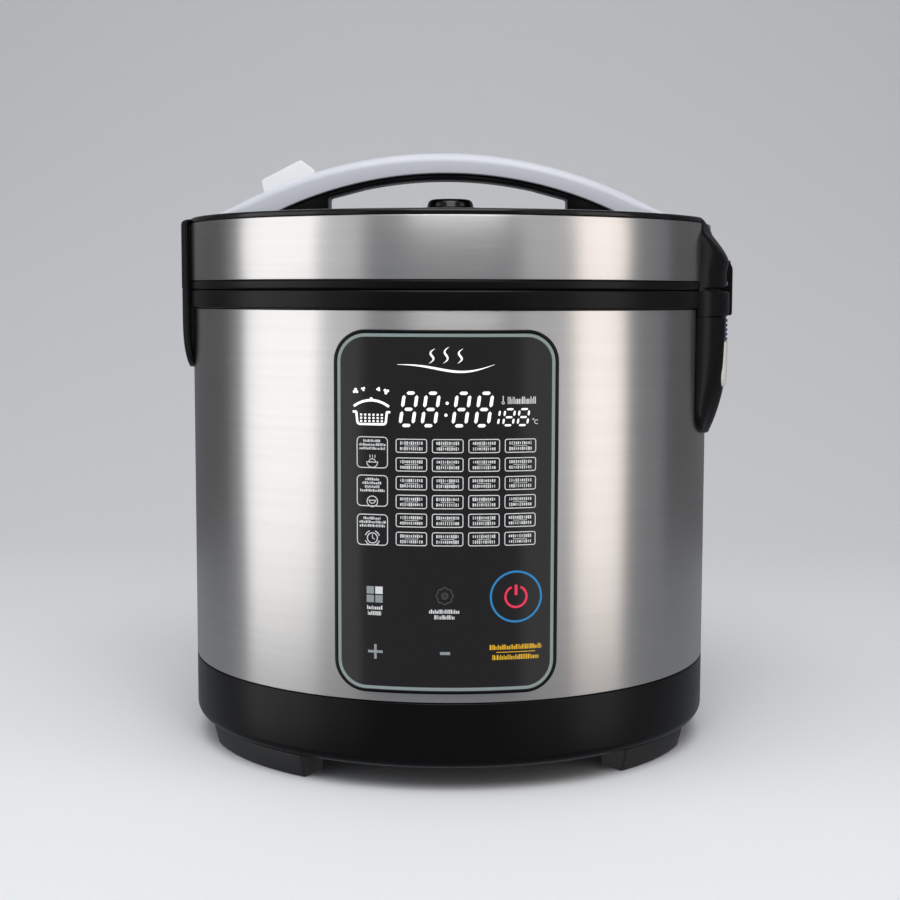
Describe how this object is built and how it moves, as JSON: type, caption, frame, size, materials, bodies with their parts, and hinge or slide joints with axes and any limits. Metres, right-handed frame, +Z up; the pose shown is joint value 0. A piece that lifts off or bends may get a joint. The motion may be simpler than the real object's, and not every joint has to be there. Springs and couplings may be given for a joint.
{
  "type": "electric multicooker",
  "caption": "Round countertop multicooker: steel drum, hinged lid with arched handle, release button, lift-out steam vent, pull-out condensate cup, inner pot and curved touch panel.",
  "frame": {"origin": "middle of the object's footprint, on the surface it stands on", "axes": "+Z up; the control panel faces -Y; the lid's hinge is at +X and its latch at -X"},
  "size_m": [0.2948, 0.2794, 0.311],
  "materials": {
    "black_gloss": "moulded, semi-gloss",
    "black_matt": "moulded, fine texture",
    "steel": "brushed around the drum",
    "spring_steel": "drawn wire",
    "aluminium": "satin",
    "zinc": "zinc plated",
    "nonstick": "coated, satin",
    "grey_plastic": "moulded, satin",
    "white_plastic": "moulded, satin",
    "panel_glass": "gloss printed film",
    "clear_plastic": "clear moulded",
    "slate_plastic": "ribbed",
    "silicone": "soft matt",
    "rubber": "matt",
    "board": "circuit board"
  },
  "bodies": {
    "cooker": {"base_tray": "black_gloss", "foot_front_left": "rubber", "foot_front_right": "rubber", "foot_back_right": "rubber", "foot_back_left": "rubber", "base_screw_1": "zinc", "base_screw_2": "zinc", "base_screw_3": "zinc", "steel_shell": "steel", "upper_ring": "black_gloss", "latch_catch": "zinc", "latch_cover_lower": "black_gloss", "heat_shield": "zinc", "heater_band": "aluminium", "heating_plate": "aluminium", "sensor_bracket": "zinc", "sensor_spring": "spring_steel", "inner_pot": "nonstick", "power_board": "board", "power_inlet": "black_matt", "panel_bezel": "black_gloss", "panel_lens": "panel_glass", "control_board": "board", "display_module": "black_matt", "hinge_housing": "black_gloss", "hinge_tongue": "black_gloss", "hinge_pin": "spring_steel", "hinge_spring": "spring_steel"},
    "lid": {"lid_top": "black_gloss", "lid_band": "steel", "lid_base": "black_gloss", "lid_hinge_cover": "black_gloss", "lid_latch_cover": "black_gloss", "inner_lid": "aluminium", "lid_gasket": "silicone", "steam_pipe": "silicone", "handle_shell": "grey_plastic", "handle_liner": "black_gloss", "handle_screw_left": "zinc", "handle_screw_right": "zinc", "button_spring": "spring_steel"},
    "button": {"release_button": "white_plastic"},
    "latch": {"latch_hook": "zinc"},
    "vent": {"steam_vent": "black_gloss", "vent_seal": "silicone"},
    "cup": {"condensate_cup": "clear_plastic", "cup_grip": "slate_plastic"},
    "sensor": {"thermostat_sensor": "aluminium"}
  },
  "joints": [
    {"name": "lid_hinge", "type": "hinge", "parent": "cooker", "child": "lid", "pos_m": [0.1399, 0.0008, 0.2415], "axis": [0, 1, 0], "range_deg": [0, 95]},
    {"name": "button_press", "type": "slide", "parent": "lid", "child": "button", "axis": [0.4147, 0, -0.91], "range_m": [0, 0.003], "stiffness_N_per_m": 500, "springref_m": -0.002, "deforming": ["button_spring"]},
    {"name": "latch_slide", "type": "slide", "parent": "lid", "child": "latch", "axis": [1, 0, 0], "range_m": [0, 0.003]},
    {"name": "vent_lift", "type": "slide", "parent": "lid", "child": "vent", "axis": [0, 0, 1], "range_m": [0, 0.008]},
    {"name": "cup_pull", "type": "slide", "parent": "cooker", "child": "cup", "axis": [1, 0, 0], "range_m": [0, 0.06]},
    {"name": "sensor_press", "type": "slide", "parent": "cooker", "child": "sensor", "axis": [0, 0, 1], "range_m": [-0.003, 0], "stiffness_N_per_m": 400, "springref_m": 0.002, "deforming": ["sensor_spring"]}
  ],
  "couplings": [
    {"joint": "latch_slide", "follows": "button_press", "ratio": 1}
  ]
}
